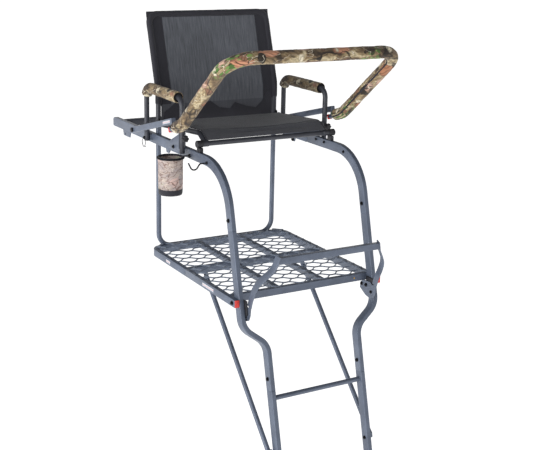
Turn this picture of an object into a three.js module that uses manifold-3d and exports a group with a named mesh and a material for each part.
// Ladder tree stand: a leaning ladder carries a mesh foot platform, a flip-up seat with a
// sling back, padded armrests, a flip-up padded shooting rail and a curved footrest.
// Millimetres, +Z up, -Y towards the climber, +Y towards the tree, X across.
// The stand is laid out from the platform: Z 0 is the platform's top and Y 0 the front of its
// front tube. ORIGIN then moves it all so that the tree bracket's rear face is at zero.
import * as THREE from "three";
import Module from "manifold-3d";

const wasm = await Module();
wasm.setup();
const { Manifold, Mesh: SolidMesh } = wasm;

// ---- driving dimensions ----
const CLEAR = 0.3; // gap between two separate pieces that touch
const TUBE_W = 20; // rectangular tube of beams and uprights, across X
const TUBE_H = 40; // and its deeper side
const TUBE_WALL = 1.6;
const PLAT_H = 30; // platform tube height
const PLAT_WIDTH = 680.6; // over the platform's side tubes
const PLAT_REAR_Y = 736.7; // rear face of the platform
const PLAT_FRONT_Y = -57; // front ends of the side tubes
const PLAT_SPLIT_Y = 375; // joint between platform halves
const STIFF_X = 107; // platform stiffeners
const MESH_T = 2; // expanded metal floor
const LEAN = 0.25; // Y per Z of the ladder
const UPRIGHT_FRONT_Y = -57; // front face of the uprights at Z 0
const LADDER_X = 211; // centre of a ladder rail
const BEND_HIGH_Z = -115.5; // the uprights turn inwards between these
const BEND_LOW_Z = -190.9;
const BEND_R = 75;
const BEAM_MID_Z = 485; // middle of the side beams
const BEAM_FRONT_Y = 470;
const BEAM_REAR_Y = 1185;
const ARC_R = 200; // bend of the arc tubes on their centre line
const ARC_SEAM_Z = 250; // arc tube meets upright
const RAIL_SEAM_Z = -370; // upright meets ladder section
const RUNG_DROP = 30; // first rung below its section's top
const RUNG_PITCH = 300;
const RUNGS_PER_SECTION = 5;
const RUNG_R = 10;
const FOOT_H = 30;
const BRACE_R = 10;
const BRACE_LOW_Z = -622; // brace meets ladder
const ROUND_R = 11; // round tube of armrests, seat, back and rear hoop
const HOOP_Z = -10; // bottom bar of the rear hoop
const BACK_JOINT_UP = 40.5; // all of these "UP" heights are above the beams
const BACK_BEND_UP = 185;
const BACK_TOP_UP = 498;
const BACK_RAKE = 100; // top of the back behind its foot
const SLING_LOW_UP = 127;
const PANEL_LOW_UP = 62; // the panel hangs below its sleeves
const SLING_T = 4;
const ARM_GAP = 10; // beam to armrest tube
const ARMREST_REAR_Y = 752;
const ARMREST_FRONT_Y = 402;
const ARMREST_UP = 202;
const ARMREST_R = 50; // rear bend
const ARM_PAD_R = 24;
const ARM_PAD_FRONT_Y = 440; // the pad stops where the tube bends down
const ARM_PAD_DROP = 52; // the pad's rear end below the top
const KNOB_UP = 44;
const KNOB_R = 15;
const PAD_GAP = 6; // armrest pad to shooting-rail arm
const RAIL_R = 10.5;
const RAIL_PAD_R = 26;
const RAIL_PIVOT_Y = 793;
const RAIL_PIVOT_UP = 12;
const RAIL_LEG = [418, 78]; // Y and height of the rail hoop's lower ends
const RAIL_ELBOW = [318, 113];
const RAIL_BAR = [-62, 416];
const RAIL_ARM_FRONT_Y = 398;
const ARM_OVER_LEG = 31; // square arm above the hoop's leg
const ARM_W = 20; // square arm, across X
const ARM_H = 25;
const TAB_T = 3.4; // seat hinge tab
const SEAT_SET = 33; // seat hinge ahead of the back posts
const SEAT_PIVOT_UP = 40;
const SEAT_FRONT = [303, 34]; // Y and height of the seat's front bar
const SEAT_KNEE = [358, 67];
const SEAT_BAR_R = 10.5;
const GRIP_R = 14.5;
const FABRIC_T = 5;
const PIVOT_R = 5;
const PIN_R = 3;
const FOOTREST_SET = 6; // footrest plates inside the uprights
const HOLDER_R = 54; // drink holder ring
const HOLDER_Y = 377;
const HOLDER_DEPTH = 152;
const STEM = 31;
const WIRE_R = 3;
const HOOK_Y = 222;
const TREE_SET = 73; // tree bracket ahead of the beams' ends
const BRACKET_H = 30;

// ---- derived sizes ----
const PLAT_OUT = PLAT_WIDTH / 2;
const PLAT_IN = PLAT_OUT - TUBE_W;
const UPRIGHT_OUT = PLAT_IN - CLEAR;
const UPRIGHT_X = UPRIGHT_OUT - TUBE_W / 2;
const UPRIGHT_IN = UPRIGHT_OUT - TUBE_W;
const BEAM_TOP = BEAM_MID_Z + TUBE_H / 2;
const BEAM_BOTTOM = BEAM_MID_Z - TUBE_H / 2;
const WELD_LOW = BEAM_MID_Z - 11;
const WELD_HIGH = BEAM_MID_Z + 15;
const PIN_Z = BEAM_MID_Z + 3;
const COS = 1 / Math.hypot(1, LEAN);
const SIN = LEAN * COS;
const FLAT_R = ROUND_R * Math.cos(Math.PI / 12); // to the flats of a twelve-sided round tube
const UPRIGHT_MID_Y = UPRIGHT_FRONT_Y + TUBE_H / 2 / COS;
const HOOP_X = UPRIGHT_IN - CLEAR - ROUND_R;
const HOOP_Y = PLAT_REAR_Y + CLEAR + ROUND_R;
const JOINT_Z = BEAM_TOP + BACK_JOINT_UP;
const BACK_BEND = [HOOP_Y, BEAM_TOP + BACK_BEND_UP];
const BACK_TOP = [HOOP_Y + BACK_RAKE, BEAM_TOP + BACK_TOP_UP];
const ARMREST_X = UPRIGHT_OUT + ARM_GAP + ROUND_R;
const ARMREST_Z = BEAM_TOP + ARMREST_UP;
const RAIL_X = ARMREST_X + ARM_PAD_R + PAD_GAP + ARM_W / 2;
const RAIL_PIVOT = [RAIL_PIVOT_Y, BEAM_TOP + RAIL_PIVOT_UP];
const SEAT_X = UPRIGHT_IN - CLEAR - TAB_T - 0.8 - ROUND_R;
const SEAT_PIVOT = [HOOP_Y - SEAT_SET, BEAM_TOP + SEAT_PIVOT_UP];
const SEAT_HALF = UPRIGHT_IN - 2;
const SEAT_BAR_Z = BEAM_TOP + SEAT_FRONT[1];
const BRACE_X = LADDER_X + TUBE_W / 2 + BRACE_R + 5;
const TREE_Y = BEAM_REAR_Y - TREE_SET; // rear face of the tree bracket
const TREE_Z = BEAM_TOP - BRACKET_H / 2;
const ORIGIN = [0, -TREE_Y, -TREE_Z];
const ACROSS = new THREE.Vector3(1, 0, 0);
const ALONG = new THREE.Vector3(0, 1, 0);
const LEFT = -1;
const RIGHT = 1;
const leanY = (z) => UPRIGHT_MID_Y + LEAN * z;
const above = ([y, up]) => [y, BEAM_TOP + up];

// ---- paints ----
const slate = new THREE.MeshStandardMaterial({ color: 0x8793a5, roughness: 0.5, metalness: 0.35 });
const dark = new THREE.MeshStandardMaterial({ color: 0x4b4d57, roughness: 0.55, metalness: 0.3 });
const black = new THREE.MeshStandardMaterial({ color: 0x1b1b20, roughness: 0.6, metalness: 0 });
const red = new THREE.MeshStandardMaterial({ color: 0xd93a33, roughness: 0.45, metalness: 0 });
const grey = new THREE.MeshStandardMaterial({ color: 0x4f5258, roughness: 0.9, metalness: 0 });
const camo = new THREE.MeshStandardMaterial({ color: 0x8d7762, roughness: 0.92, metalness: 0 });
const wire = new THREE.MeshStandardMaterial({ color: 0x24242a, roughness: 0.4, metalness: 0.5 });

const stand = new THREE.Group();
stand.name = "ladder_tree_stand";

// ---- solid helpers ----
function solidFrom(points, tris) {
  const merged = new SolidMesh({
    numProp: 3,
    vertProperties: new Float32Array(points.flat()),
    triVerts: new Uint32Array(tris.flat()),
  });
  merged.merge();
  const solid = new Manifold(merged);
  return solid.volume() < 0 ? new Manifold(flip(merged)) : solid;
}

function flip(mesh) {
  const t = Uint32Array.from(mesh.triVerts);
  for (let i = 0; i < t.length; i += 3) {
    [t[i], t[i + 1]] = [t[i + 1], t[i]];
  }
  const out = new SolidMesh({ numProp: 3, vertProperties: mesh.vertProperties, triVerts: t });
  out.merge();
  return out;
}

function fromGeometry(geometry) {
  const g = geometry.index ? geometry : geometry.clone();
  const pos = g.getAttribute("position");
  const index = g.index ? Array.from(g.index.array) : [...Array(pos.count).keys()];
  const seen = new Map();
  const points = [];
  const remap = [];
  for (let i = 0; i < pos.count; i += 1) {
    const p = [pos.getX(i), pos.getY(i), pos.getZ(i)];
    const key = p.map((v) => Math.round(v * 1e4)).join();
    if (!seen.has(key)) {
      seen.set(key, points.length);
      points.push(p);
    }
    remap.push(seen.get(key));
  }
  const tris = [];
  for (let i = 0; i < index.length; i += 3) {
    const t = [remap[index[i]], remap[index[i + 1]], remap[index[i + 2]]];
    if (t[0] !== t[1] && t[1] !== t[2] && t[2] !== t[0]) {
      tris.push(t);
    }
  }
  return solidFrom(points, tris);
}

function box(x0, x1, y0, y1, z0, z1) {
  const g = new THREE.BoxGeometry(x1 - x0, y1 - y0, z1 - z0);
  g.translate((x0 + x1) / 2, (y0 + y1) / 2, (z0 + z1) / 2);
  return fromGeometry(g);
}

// A round bar from a to b.
function rod(a, b, r, sides = 16) {
  const from = new THREE.Vector3(...a);
  const to = new THREE.Vector3(...b);
  const g = new THREE.CylinderGeometry(r, r, from.distanceTo(to), sides);
  const turn = new THREE.Quaternion();
  turn.setFromUnitVectors(new THREE.Vector3(0, 1, 0), to.clone().sub(from).normalize());
  g.applyQuaternion(turn);
  const mid = from.add(to).multiplyScalar(0.5);
  g.translate(mid.x, mid.y, mid.z);
  return fromGeometry(g);
}

// A flat plate in a plane of constant X, cut to a [Y, Z] outline.
function plateYZ(outline, x0, x1) {
  const shape = new THREE.Shape(outline.map(([y, z]) => new THREE.Vector2(y, z)));
  const g = new THREE.ExtrudeGeometry(shape, { depth: x1 - x0, bevelEnabled: false, steps: 1 });
  const m = new THREE.Matrix4().set(0, 0, 1, x0, 1, 0, 0, 0, 0, 1, 0, 0, 0, 0, 0, 1);
  g.applyMatrix4(m);
  return fromGeometry(g);
}

// A plate lying flat between z0 and z1.
function plateXY(shape, z0, z1) {
  const g = new THREE.ExtrudeGeometry(shape, {
    depth: z1 - z0,
    bevelEnabled: false,
    steps: 1,
    curveSegments: 6,
  });
  g.translate(0, 0, z0);
  return fromGeometry(g);
}

// Centre line through corner points, each corner rounded to its radius.
function bentPath(corners, steps = 6) {
  const out = [];
  const pts = corners.map((c) => new THREE.Vector3(c[0], c[1], c[2]));
  pts.forEach((p, i) => {
    const radius = corners[i][3] ?? 0;
    if (i === 0 || i === pts.length - 1 || radius === 0) {
      out.push(p.clone());
      return;
    }
    const a = pts[i - 1].clone().sub(p).normalize();
    const b = pts[i + 1].clone().sub(p).normalize();
    const half = a.angleTo(b) / 2;
    const reach = radius / Math.tan(half);
    const bisector = a.clone().add(b).normalize();
    const centre = p.clone().addScaledVector(bisector, radius / Math.sin(half));
    const from = p.clone().addScaledVector(a, reach).sub(centre);
    const to = p.clone().addScaledVector(b, reach).sub(centre);
    const axis = from.clone().cross(to).normalize();
    const angle = from.angleTo(to);
    for (let k = 0; k <= steps; k += 1) {
      out.push(from.clone().applyAxisAngle(axis, (angle * k) / steps).add(centre));
    }
  });
  return out;
}

// A centre line whose samples are exactly the stations it is given. Its frames are carried
// without twist, starting with the section's first axis as near `side` as it can be.
class StationPath extends THREE.Curve {
  constructor(stations, side) {
    super();
    this.stations = stations;
    this.side = side;
  }

  getPointAt(u, target = new THREE.Vector3()) {
    return target.copy(this.stations[Math.round(u * (this.stations.length - 1))]);
  }

  computeFrenetFrames() {
    const last = this.stations.length - 1;
    const tangents = this.stations.map((here, i) => {
      const inward = here.clone().sub(this.stations[Math.max(i - 1, 0)]).normalize();
      const onward = this.stations[Math.min(i + 1, last)].clone().sub(here).normalize();
      return inward.add(onward).normalize();
    });
    let u = this.side.clone();
    const normals = tangents.map((t) => {
      u = u.clone().addScaledVector(t, -u.dot(t)).normalize();
      return u;
    });
    const binormals = tangents.map((t, i) => new THREE.Vector3().crossVectors(t, normals[i]));
    return { tangents, normals, binormals };
  }
}

// Sweep a closed section, and a bore if there is one, along a centre line.
function sweep(points, outer, inner = null, side = ACROSS) {
  const shape = new THREE.Shape(outer.map(([a, b]) => new THREE.Vector2(a, b)));
  if (inner) {
    shape.holes.push(new THREE.Path(inner.map(([a, b]) => new THREE.Vector2(a, b))));
  }
  return fromGeometry(new THREE.ExtrudeGeometry(shape, {
    steps: points.length - 1,
    bevelEnabled: false,
    extrudePath: new StationPath(points, side),
  }));
}

function circle(r, sides = 12) {
  return [...Array(sides).keys()].map((k) => {
    const a = (2 * Math.PI * (k + 0.5)) / sides;
    return [r * Math.cos(a), r * Math.sin(a)];
  });
}

// A bore's section, drawn around its circle so that a round bar clears every flat.
function boreCircle(r, sides = 12) {
  return circle(r / Math.cos(Math.PI / sides), sides);
}

// Rectangle with its corners cut: width along the first axis, height along the second.
function rect(w, h, cut = 2) {
  const [x, y] = [w / 2, h / 2];
  if (cut === 0) {
    return [[x, -y], [x, y], [-x, y], [-x, -y]];
  }
  return [
    [x, -y + cut], [x, y - cut], [x - cut, y], [-x + cut, y],
    [-x, y - cut], [-x, -y + cut], [-x + cut, -y], [x - cut, -y],
  ];
}

const join = (...solids) => Manifold.union(solids);
const cut = (solid, ...tools) => solid.subtract(Manifold.union(tools));

// The same solid reflected to the other side.
function mirrored(solid) {
  const g = geometryOf(solid);
  g.scale(-1, 1, 1);
  return fromGeometry(g);
}

function geometryOf(solid) {
  const data = solid.getMesh();
  const points = new Float32Array((data.vertProperties.length / data.numProp) * 3);
  for (let i = 0; i < points.length / 3; i += 1) {
    for (let k = 0; k < 3; k += 1) {
      points[3 * i + k] = data.vertProperties[i * data.numProp + k];
    }
  }
  const g = new THREE.BufferGeometry();
  g.setAttribute("position", new THREE.BufferAttribute(points, 3));
  g.setIndex(new THREE.BufferAttribute(Uint32Array.from(data.triVerts), 1));
  return g;
}

// A group placed at a point of the stand, [Y, Z] from the platform; its meshes turn about it.
function groupAt(name, [y, z]) {
  const group = new THREE.Group();
  group.name = name;
  group.position.set(0, y, z);
  layout.add(group);
  return group;
}

const layout = new THREE.Group();
layout.name = "layout";
layout.position.set(...ORIGIN);
stand.add(layout);
const frame = groupAt("frame", [0, 0]);
const seat = groupAt("seat", SEAT_PIVOT);
const rail = groupAt("rail", RAIL_PIVOT);

function addMesh(name, solid, material, group = frame) {
  const g = geometryOf(solid).toNonIndexed();
  g.translate(0, -group.position.y, -group.position.z);
  g.computeVertexNormals();
  const mesh = new THREE.Mesh(g, material);
  mesh.name = name;
  group.add(mesh);
  return mesh;
}

// Both sides of a piece that is drawn for +X; the left one is the right one reflected.
function addPair(name, solid, material, group = frame) {
  const right = addMesh(`${name}_r`, solid, material, group);
  const left = new THREE.Mesh(right.geometry, material);
  left.name = `${name}_l`;
  left.scale.x = -1;
  group.add(left);
}

// ---- side beams with their welded brackets ----
function sideBeam() {
  const round = 12;
  const outline = [
    [BEAM_FRONT_Y + CLEAR / 2, BEAM_TOP],
    [BEAM_REAR_Y - round, BEAM_TOP],
    [BEAM_REAR_Y - round * 0.3, BEAM_TOP - round * 0.3],
    [BEAM_REAR_Y, BEAM_TOP - round],
    [BEAM_REAR_Y, BEAM_BOTTOM + 4],
    [BEAM_REAR_Y - 4, BEAM_BOTTOM],
    [BEAM_FRONT_Y + 9, BEAM_BOTTOM],
    [BEAM_FRONT_Y + CLEAR / 2, BEAM_BOTTOM + 9],
  ];
  const x0 = UPRIGHT_IN;
  const x1 = UPRIGHT_OUT;
  const beam = plateYZ(outline, x0, x1);
  const under = (y, half, depth, a, b) => plateYZ([
    [y - half, BEAM_BOTTOM + 2], [y - half + 8, BEAM_BOTTOM - depth],
    [y + half - 8, BEAM_BOTTOM - depth], [y + half, BEAM_BOTTOM + 2],
  ], a, b);
  const gussetY = BEAM_REAR_Y - 158;
  const gusset = under(gussetY, 42, 24, x1 - 5, x1);
  const underTab = under(BEAM_FRONT_Y + 134, 20, 19, x0 + 8, x0 + 12);
  const rearSeat = box(x1 - 1, ARMREST_X - ROUND_R - CLEAR,
    ARMREST_REAR_Y - 10, ARMREST_REAR_Y + 10, WELD_LOW + 2, WELD_HIGH);
  // front armrest bracket: web on the beam's outer face, then a cross plate behind the leg
  const webX0 = x1 + CLEAR;
  const webX1 = webX0 + 4;
  const behind = ARMREST_FRONT_Y + FLAT_R + CLEAR;
  const webTop = BEAM_TOP + KNOB_UP + 17;
  const webRear = BEAM_FRONT_Y + 90;
  const web = plateYZ([
    [behind, BEAM_TOP - 3], [behind, webTop], [behind + 26, webTop],
    [webRear, BEAM_TOP + 2], [webRear, WELD_LOW - 2], [webRear - 80, WELD_LOW - 2],
  ], webX0, webX1);
  const webWeld = box(x1 - 1, webX0 + 1, webRear - 70, webRear - 10, WELD_LOW, WELD_HIGH);
  const legPlate = box(webX0, ARMREST_X + 10, behind, behind + 4, BEAM_TOP - 3, webTop);
  // shooting-rail hinge bracket with its spacer
  const [py, pz] = RAIL_PIVOT;
  const hingePlate = plateYZ([
    [py - 24, WELD_LOW - 2], [py - 24, pz], [py - 12, pz + 15], [py + 12, pz + 15],
    [py + 24, pz], [py + 24, WELD_LOW - 2],
  ], webX0, webX1);
  const hingeWeld = box(x1 - 1, webX0 + 1, py - 20, py + 20, WELD_LOW, WELD_HIGH);
  const armInner = RAIL_X - ARM_W / 2;
  const spacer = rod([webX0 + 1, py, pz], [armInner - CLEAR, py, pz], 9);
  const boltHole = rod([webX1 + 2, py, pz], [armInner + 5, py, pz], PIVOT_R + CLEAR);
  // seat hinge tab with its pin, on the inner face
  const [sy, sz] = SEAT_PIVOT;
  const tabOut = x0 - CLEAR;
  const tabIn = tabOut - TAB_T;
  const seatTab = plateYZ([
    [sy - 18, WELD_LOW], [sy - 14, sz + 8], [sy - 6, sz + 15], [sy + 6, sz + 15],
    [sy + 12, sz + 8], [sy + 12, WELD_LOW],
  ], tabIn, tabOut);
  const seatWeld = box(tabOut - 1, x0 + 1, sy - 10, sy + 8, WELD_LOW + 4, WELD_HIGH);
  const seatPin = rod([SEAT_X - ROUND_R + 3, sy, sz], [tabIn + 1, sy, sz], PIVOT_R);
  const pinHole = rod(
    [x1 + 1.5, ARMREST_REAR_Y, PIN_Z], [ARMREST_X, ARMREST_REAR_Y, PIN_Z], PIN_R + CLEAR);
  return cut(
    join(beam, gusset, underTab, rearSeat, web, webWeld, legPlate, hingePlate, hingeWeld,
      spacer, seatTab, seatWeld, seatPin),
    boltHole,
    pinHole,
    rod([x1 - 8, gussetY + 13, BEAM_BOTTOM - 15], [x1 + 2, gussetY + 13, BEAM_BOTTOM - 15], 4),
  );
}
addPair("side_beam", sideBeam(), slate);

// ---- arc tubes and uprights ----
const arcPath = bentPath([
  [UPRIGHT_X, BEAM_FRONT_Y - CLEAR / 2, BEAM_MID_Z],
  [UPRIGHT_X, leanY(BEAM_MID_Z), BEAM_MID_Z, ARC_R],
  [UPRIGHT_X, leanY(ARC_SEAM_Z), ARC_SEAM_Z],
], 10);
const tubeOuter = rect(TUBE_W, TUBE_H);
const tubeInner = rect(TUBE_W - 2 * TUBE_WALL, TUBE_H - 2 * TUBE_WALL, 1);
addPair("arc_tube", sweep(arcPath, tubeOuter, tubeInner), slate);

const alongLean = (x, z, r = 0) => [x, leanY(z), z, r];
const uprightPath = bentPath([
  alongLean(UPRIGHT_X, ARC_SEAM_Z - CLEAR),
  alongLean(UPRIGHT_X, BEND_HIGH_Z, BEND_R),
  alongLean(LADDER_X, BEND_LOW_Z, BEND_R),
  alongLean(LADDER_X, RAIL_SEAM_Z),
], 6);
addPair("upright", sweep(uprightPath, tubeOuter, tubeInner), slate);

// ---- ladder ----
function ladderSection(index) {
  const top = RAIL_SEAM_Z - CLEAR - index * RUNG_PITCH * RUNGS_PER_SECTION;
  const bottom = RAIL_SEAM_Z - (index + 1) * RUNG_PITCH * RUNGS_PER_SECTION;
  const rail = sweep(
    bentPath([alongLean(LADDER_X, top), alongLean(LADDER_X, bottom)]), tubeOuter, tubeInner);
  const solids = [rail, mirrored(rail)];
  const reach = LADDER_X - TUBE_W / 2 + 0.8;
  for (let k = 0; k < RUNGS_PER_SECTION; k += 1) {
    const z = RAIL_SEAM_Z - RUNG_DROP - (index * RUNGS_PER_SECTION + k) * RUNG_PITCH;
    solids.push(rod([-reach, leanY(z), z], [reach, leanY(z), z], RUNG_R, 12));
  }
  return join(...solids);
}
addMesh("ladder_upper", ladderSection(0), slate);
addMesh("ladder_lower", ladderSection(1), slate);

const railEndZ = RAIL_SEAM_Z - 2 * RUNG_PITCH * RUNGS_PER_SECTION;
const groundZ = railEndZ - FOOT_H;
function foot() {
  const y = leanY(railEndZ);
  const half = TUBE_H / 2 + 3;
  const drop = CLEAR;
  const front = [y - half * COS - drop * SIN, railEndZ + half * SIN - drop * COS];
  const rear = [y + half * COS - drop * SIN, railEndZ - half * SIN - drop * COS];
  const outline = [front, rear, [rear[0] + 2, groundZ], [front[0] - 12, groundZ]];
  return plateYZ(outline, LADDER_X - 14, LADDER_X + 14);
}
addPair("ladder_foot", foot(), black);

// ---- rear hoop and tree bracket ----
const hoopPath = bentPath([
  [-HOOP_X, HOOP_Y, JOINT_Z],
  [-HOOP_X, HOOP_Y, HOOP_Z, 60],
  [HOOP_X, HOOP_Y, HOOP_Z, 60],
  [HOOP_X, HOOP_Y, JOINT_Z],
]);
addMesh("rear_hoop", sweep(hoopPath, circle(ROUND_R)), slate);
const bracketHalf = UPRIGHT_IN - CLEAR;
const bracket = box(
  -bracketHalf, bracketHalf, TREE_Y - 25, TREE_Y, BEAM_TOP - BRACKET_H, BEAM_TOP);
addMesh("tree_bracket", bracket, dark);

// ---- platform ----
const stiffener = (side, y0, y1) =>
  box(side * STIFF_X - 12, side * STIFF_X + 12, y0, y1, -PLAT_H + 9, -1);

function roundedBar(halfX, y0, y1, r) {
  const s = new THREE.Shape();
  s.moveTo(-halfX, y0);
  s.lineTo(halfX, y0);
  s.lineTo(halfX, y1 - r);
  s.absarc(halfX - r, y1 - r, r, 0, Math.PI / 2);
  s.lineTo(-halfX + r, y1);
  s.absarc(-halfX + r, y1 - r, r, Math.PI / 2, Math.PI);
  s.lineTo(-halfX, y0);
  return s;
}

function platformRear() {
  const y0 = PLAT_SPLIT_Y + CLEAR / 2;
  const ring = roundedBar(PLAT_OUT, y0, PLAT_REAR_Y, 60);
  ring.holes.push(roundedBar(PLAT_IN, y0 + TUBE_W, PLAT_REAR_Y - TUBE_W, 40));
  const bars = [LEFT, RIGHT].map((s) => stiffener(s, y0 + TUBE_W - 1, PLAT_REAR_Y - TUBE_W + 1));
  return join(plateXY(ring, -PLAT_H, 0), ...bars);
}
addMesh("platform_rear", platformRear(), slate);

function platformFront() {
  const y1 = PLAT_SPLIT_Y - CLEAR / 2;
  const sides = [LEFT, RIGHT].map((s) => {
    const [a, b] = s === LEFT ? [-PLAT_OUT, -PLAT_IN] : [PLAT_IN, PLAT_OUT];
    return box(a, b, PLAT_FRONT_Y, y1, -PLAT_H, 0);
  });
  const front = box(-PLAT_IN - 1, PLAT_IN + 1, 0, TUBE_W, -PLAT_H, 0);
  const bars = [LEFT, RIGHT].map((s) => stiffener(s, TUBE_W - 1, y1));
  return join(...sides, front, ...bars);
}
addMesh("platform_front", platformFront(), slate);

const meshEdge = PLAT_OUT - 8;
const meshRear = roundedBar(meshEdge, PLAT_SPLIT_Y + 3, PLAT_REAR_Y - 8, 52);
const meshZ = [CLEAR, CLEAR + MESH_T];
addMesh("mesh_rear", plateXY(meshRear, ...meshZ), slate);
addMesh("mesh_front", box(-meshEdge, meshEdge, 5, PLAT_SPLIT_Y - 3, ...meshZ), slate);
const capY = PLAT_FRONT_Y - CLEAR;
const platformCap = box(PLAT_IN + CLEAR, PLAT_OUT - CLEAR, capY - 4, capY, -PLAT_H + CLEAR, -CLEAR);
addPair("platform_cap", platformCap, red);

// ---- braces from the platform's middle down to the ladder ----
function brace() {
  const topY = PLAT_SPLIT_Y + 13;
  const lowY = leanY(BRACE_LOW_Z) + TUBE_H / 2;
  const top = [BRACE_X, topY, -PLAT_H - 16];
  const low = [BRACE_X, lowY, BRACE_LOW_Z];
  const tab = box(
    BRACE_X - 3, BRACE_X + 3, topY - 10, topY + 10, -PLAT_H - 22, -PLAT_H - CLEAR);
  const railOut = LADDER_X + TUBE_W / 2 + CLEAR;
  const lug = [[12, 18], [22, 0], [-14, -30], [-32, -18], [-28, 0], [-8, 18]];
  const outline = lug.map(([y, z]) => [lowY + y, BRACE_LOW_Z + z]);
  return join(rod(top, low, BRACE_R, 12), tab, plateYZ(outline, railOut, BRACE_X));
}
addPair("brace", brace(), slate);

// ---- footrest ----
const plateOut = UPRIGHT_IN - FOOTREST_SET;
const plateIn = plateOut - 4;
// stations of the bent strip: inwards from the plate, ahead of the upright, height
const ARM_PATH = [
  [0, -31, -24], [0, -42, 9], [0, -64, 52], [6, -83, 84],
  [20, -102, 110], [40, -119, 136], [56, -125, 164], [64, -130, 197],
];
const barY = UPRIGHT_FRONT_Y - 130;
function footrestArm() {
  const pts = ARM_PATH.map(([inward, y, z]) => (
    new THREE.Vector3(plateIn + 2 - inward, UPRIGHT_FRONT_Y + y, z)));
  const strip = sweep(pts, rect(4, 30, 1));
  const y = UPRIGHT_FRONT_Y;
  const plate = plateYZ([
    [8, -PLAT_H - 6], [11, -62], [-30, -84], [y - 5, -90], [y - 29, -80], [y - 39, -58],
    [y - 42, -28], [y - 47, -18], [y - 16, -30], [y - 3, 10 - PLAT_H], [-10, 6 - PLAT_H],
  ], plateIn, plateOut);
  return join(strip, plate);
}
const barEnd = plateIn - 63;
const footBar = box(-barEnd, barEnd, barY - 10, barY + 10, 167, 192);
const footArm = footrestArm();
addMesh("footrest", join(footBar, footArm, mirrored(footArm)), slate);
const leanLength = Math.hypot(1, LEAN);
const bendTurn = Math.atan2(UPRIGHT_X - LADDER_X, (BEND_HIGH_Z - BEND_LOW_Z) * leanLength);
const bendStartZ = BEND_HIGH_Z + BEND_R * Math.tan(bendTurn / 2) / leanLength;
const shim = plateYZ(
  [[35, -4], [-19, -4], [-25, bendStartZ + 22], [-5, bendStartZ + 4],
    [29, bendStartZ + 10]].map(([y, z]) => (
    [UPRIGHT_FRONT_Y + y, z])), plateOut + CLEAR, UPRIGHT_IN - CLEAR);
addPair("footrest_shim", shim, black);

// ---- seat ----
const seatSide = bentPath([
  [SEAT_X, ...SEAT_PIVOT],
  [SEAT_X, ...above(SEAT_KNEE), 40],
  [SEAT_X, ...above(SEAT_FRONT)],
]);
function seatFrame() {
  const [fy, fz] = above(SEAT_FRONT);
  const [py, pz] = SEAT_PIVOT;
  const boss = rod([SEAT_X - ROUND_R, py, pz], [SEAT_X + ROUND_R, py, pz], ROUND_R, 12);
  const side = join(sweep(seatSide, circle(ROUND_R)), boss);
  const barHalf = UPRIGHT_OUT + 5;
  const bar = rod([-barHalf, fy, fz], [barHalf, fy, fz], SEAT_BAR_R, 12);
  const rearBar = rod([-SEAT_X, py - 22, pz + 1.6], [SEAT_X, py - 22, pz + 1.6], 8, 12);
  const bore = rod([SEAT_X - 16, py, pz], [SEAT_X + 16, py, pz], PIVOT_R + CLEAR);
  const body = join(side, mirrored(side), bar, rearBar);
  return cut(body, bore, mirrored(bore));
}
addMesh("seat_frame", seatFrame(), slate, seat);
const gripOuter = circle(GRIP_R);
const gripInner = boreCircle(SEAT_BAR_R + CLEAR);
const gripPath = [UPRIGHT_IN, UPRIGHT_OUT + 6].map((x) => (
  new THREE.Vector3(x, ...above(SEAT_FRONT))));
addPair("seat_grip", sweep(gripPath, gripOuter, gripInner, ALONG), black, seat);
const padTop = BEAM_TOP + CLEAR;
const bumper = box(UPRIGHT_X - 8, UPRIGHT_X + 8, SEAT_FRONT[0] - 14, SEAT_FRONT[0] + 14,
  padTop, SEAT_BAR_Z - GRIP_R - CLEAR);
addPair("seat_bumper", bumper, black);

function seatFabric() {
  const lift = ROUND_R + CLEAR + FABRIC_T / 2;
  const pivot = new THREE.Vector2(...SEAT_PIVOT);
  const knee = new THREE.Vector2(...above(SEAT_KNEE));
  const front = new THREE.Vector2(...above(SEAT_FRONT));
  const normal = (from, to) => {
    const d = to.clone().sub(from).normalize();
    return new THREE.Vector2(d.y, -d.x);
  };
  const over = normal(pivot, knee);
  const ahead = normal(knee, front);
  const corner = knee.clone().addScaledVector(
    over.clone().add(ahead), lift / (1 + over.dot(ahead)));
  const start = pivot.clone().addScaledVector(over, lift).lerp(corner, 0.032);
  const end = front.clone().addScaledVector(ahead, lift).lerp(corner, 0.08);
  const path = bentPath([
    [0, start.x, start.y],
    [0, corner.x, corner.y, 40 + lift],
    [0, end.x, end.y],
  ], 8);
  return sweep(path, rect(2 * SEAT_HALF, FABRIC_T, 0));
}
addMesh("seat_fabric", seatFabric(), grey, seat);

// ---- back ----
const backPath = bentPath([
  [-HOOP_X, HOOP_Y, JOINT_Z + CLEAR],
  [-HOOP_X, ...BACK_BEND, 160],
  [-HOOP_X, ...BACK_TOP, 40],
  [HOOP_X, ...BACK_TOP, 40],
  [HOOP_X, ...BACK_BEND, 160],
  [HOOP_X, HOOP_Y, JOINT_Z + CLEAR],
], 5);
addMesh("back_frame", sweep(backPath, circle(ROUND_R)), dark);

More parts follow.
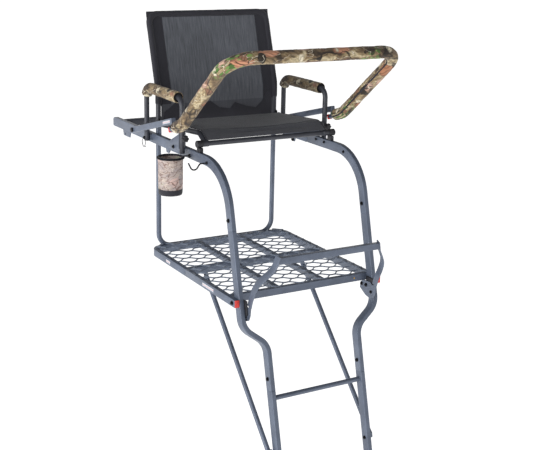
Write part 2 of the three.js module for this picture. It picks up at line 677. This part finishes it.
function backSling() {
  const low = BEAM_TOP + SLING_LOW_UP;
  const hoop = bentPath([
    [-HOOP_X, HOOP_Y, low],
    [-HOOP_X, ...BACK_BEND, 160],
    [-HOOP_X, ...BACK_TOP, 40],
    [HOOP_X, ...BACK_TOP, 40],
    [HOOP_X, ...BACK_BEND, 160],
    [HOOP_X, HOOP_Y, low],
  ], 8);
  const sleeve = sweep(hoop, circle(ROUND_R + 2.8));
  const panelPath = bentPath([
    [0, HOOP_Y, BEAM_TOP + PANEL_LOW_UP],
    [0, ...BACK_BEND, 160],
    [0, BACK_TOP[0] - 1.5, BACK_TOP[1] - 5],
  ], 8);
  const panel = sweep(panelPath, rect(2 * HOOP_X, SLING_T, 1));
  return cut(join(sleeve, panel), sweep(backPath, boreCircle(ROUND_R + CLEAR)));
}
addMesh("back_sling", backSling(), grey);

// ---- armrests ----
const armPath = bentPath([
  [ARMREST_X, ARMREST_REAR_Y, WELD_LOW],
  [ARMREST_X, ARMREST_REAR_Y, ARMREST_Z, ARMREST_R],
  [ARMREST_X, ARMREST_FRONT_Y, ARMREST_Z, ARM_PAD_FRONT_Y - ARMREST_FRONT_Y],
  [ARMREST_X, ARMREST_FRONT_Y, BEAM_MID_Z - 1],
], 5);
const lockHole = rod(
  [ARMREST_X - 20, ARMREST_REAR_Y, PIN_Z], [ARMREST_X + 20, ARMREST_REAR_Y, PIN_Z],
  PIN_R + CLEAR);
addPair("armrest", cut(sweep(armPath, circle(ROUND_R)), lockHole), slate);
const padPath = bentPath([
  [ARMREST_X, ARMREST_REAR_Y, ARMREST_Z - ARM_PAD_DROP],
  [ARMREST_X, ARMREST_REAR_Y, ARMREST_Z, ARMREST_R],
  [ARMREST_X, ARM_PAD_FRONT_Y, ARMREST_Z],
], 5);
addPair("arm_pad", sweep(padPath, circle(ARM_PAD_R), boreCircle(ROUND_R + CLEAR)), camo);

function knob() {
  const front = ARMREST_FRONT_Y - FLAT_R - CLEAR;
  const z = BEAM_TOP + KNOB_UP;
  const stem = rod([ARMREST_X, front, z], [ARMREST_X, front - 12, z], 5, 12);
  const head = rod([ARMREST_X, front - 8, z], [ARMREST_X, front - 26, z], KNOB_R, 12);
  return join(stem, head);
}
addPair("armrest_knob", knob(), black);

function lockPin() {
  const y = ARMREST_REAR_Y;
  const z = PIN_Z;
  const out = ARMREST_X + ROUND_R;
  const shaft = rod([UPRIGHT_OUT + 3, y, z], [out + 8, y, z], PIN_R, 12);
  const head = rod([out + CLEAR, y, z], [out + 6, y, z], 7, 12);
  const loop = [...Array(13).keys()].map((k) => {
    const a = Math.PI * (0.6 + (1.8 * k) / 12);
    return new THREE.Vector3(out + 5, y - 2 + 17 * Math.cos(a), z - 21 + 17 * Math.sin(a));
  });
  const ring = sweep(loop, circle(1.5, 8));
  const hanger = rod([out + 5, y - 7, z - 6], [out + 5, y, z], 1.8, 8);
  return join(shaft, head, ring, hanger);
}
addPair("lock_pin", lockPin(), wire);

// ---- shooting rail ----
const railCorners = [
  [-RAIL_X, ...above(RAIL_LEG)],
  [-RAIL_X, ...above(RAIL_ELBOW), 120],
  [-RAIL_X, ...above(RAIL_BAR), 95],
  [RAIL_X, ...above(RAIL_BAR), 95],
  [RAIL_X, ...above(RAIL_ELBOW), 120],
  [RAIL_X, ...above(RAIL_LEG)],
];
const legSlope = (RAIL_ELBOW[1] - RAIL_LEG[1]) / (RAIL_LEG[0] - RAIL_ELBOW[0]);
const legZ = (y) => BEAM_TOP + RAIL_LEG[1] + (RAIL_LEG[0] - y) * legSlope;
function railFrame() {
  const hoop = sweep(bentPath(railCorners, 6), circle(RAIL_R));
  const [py, pz] = RAIL_PIVOT;
  const front = RAIL_ARM_FRONT_Y;
  const slope = (legZ(front) + ARM_OVER_LEG - pz) / (py - front);
  const armEnd = [RAIL_X, front, pz + (py - front) * slope];
  const armRear = [RAIL_X, py + 16, pz - 16 * slope];
  const points = [armRear, armEnd].map((p) => new THREE.Vector3(...p));
  const arm = sweep(points, rect(ARM_W, ARM_H));
  const strap = box(RAIL_X - 4, RAIL_X + 4, front + 1, front + 14,
    legZ(front) - 8, legZ(front) + 22);
  const bore = rod([RAIL_X - 20, py, pz], [RAIL_X + 20, py, pz], PIVOT_R + CLEAR);
  const side = cut(join(arm, strap), bore);
  return join(hoop, side, mirrored(side));
}
addMesh("rail_frame", railFrame(), slate, rail);

function railPad() {
  const startY = RAIL_LEG[0] - 46;
  const corners = railCorners.map((c) => [...c]);
  corners[0] = [-RAIL_X, startY, legZ(startY)];
  corners[5] = [RAIL_X, startY, legZ(startY)];
  return sweep(bentPath(corners, 6), circle(RAIL_PAD_R, 14), boreCircle(RAIL_R + CLEAR, 14));
}
addMesh("rail_pad", railPad(), camo, rail);
const railEnd = new THREE.Vector3(RAIL_X, ...above(RAIL_LEG));
const railDir = new THREE.Vector3(0, 1, -legSlope).normalize();
const capPath = [CLEAR, 8].map((d) => railEnd.clone().addScaledVector(railDir, d));
addPair("rail_cap", sweep(capPath, rect(22, 22, 3)), red, rail);

function railPivot() {
  const [py, pz] = RAIL_PIVOT;
  const outer = RAIL_X + ARM_W / 2;
  const shaft = rod([UPRIGHT_OUT + 8, py, pz], [outer + 2, py, pz], PIVOT_R);
  const head = rod([outer + CLEAR, py, pz], [outer + 7, py, pz], 10, 12);
  return join(shaft, head);
}
addPair("rail_pivot", railPivot(), black);

// ---- drink holder and hook on the left arc tube ----
const HOLDER_C = [-(UPRIGHT_OUT + STEM + HOLDER_R), HOLDER_Y];
const HOLDER_Z = BEAM_MID_Z - 7;
function holderRing() {
  const [cx, cy] = HOLDER_C;
  const g = new THREE.TorusGeometry(HOLDER_R, WIRE_R, 8, 28);
  g.translate(cx, cy, HOLDER_Z);
  const stemX = -UPRIGHT_OUT - CLEAR;
  const stem = rod([cx + HOLDER_R, cy, HOLDER_Z], [stemX, cy, HOLDER_Z], WIRE_R, 10);
  const flange = rod([stemX, cy, HOLDER_Z], [stemX - 5, cy, HOLDER_Z], 8, 12);
  return join(fromGeometry(g), stem, flange);
}
addMesh("holder_ring", holderRing(), wire);

function pouch() {
  const r = HOLDER_R - WIRE_R - 0.5;
  const low = HOLDER_Z - HOLDER_DEPTH;
  const over = HOLDER_Z + WIRE_R + CLEAR;
  const profile = [
    [0, low], [r - 12, low], [r - 5, low + 7], [r - 3, low + 40], [r, HOLDER_Z - 8],
    [r, over], [HOLDER_R + 2, over], [HOLDER_R + 2, over + 2.7], [r - 3, over + 2.7],
    [r - 6, low + 40], [r - 8, low + 9], [0, low + 9],
  ];
  const g = new THREE.LatheGeometry(profile.map(([a, b]) => new THREE.Vector2(a, b)), 24);
  g.rotateX(Math.PI / 2);
  g.translate(HOLDER_C[0], HOLDER_C[1], 0);
  return fromGeometry(g);
}
addMesh("holder_pouch", pouch(), camo);

function hook() {
  const y = HOOK_Y;
  const x = -UPRIGHT_OUT - CLEAR;
  const z = BEAM_MID_Z - 6;
  const path = bentPath([
    [x, y, z],
    [x - 31, y, z, 8],
    [x - 57, y, z - 39, 17],
    [x - 81, y, z + 7],
  ]);
  const flange = rod([x, y, z], [x - 5, y, z], 8, 12);
  return join(sweep(path, circle(WIRE_R, 8), null, ALONG), flange);
}
addMesh("gear_hook", hook(), wire);

export default stand;
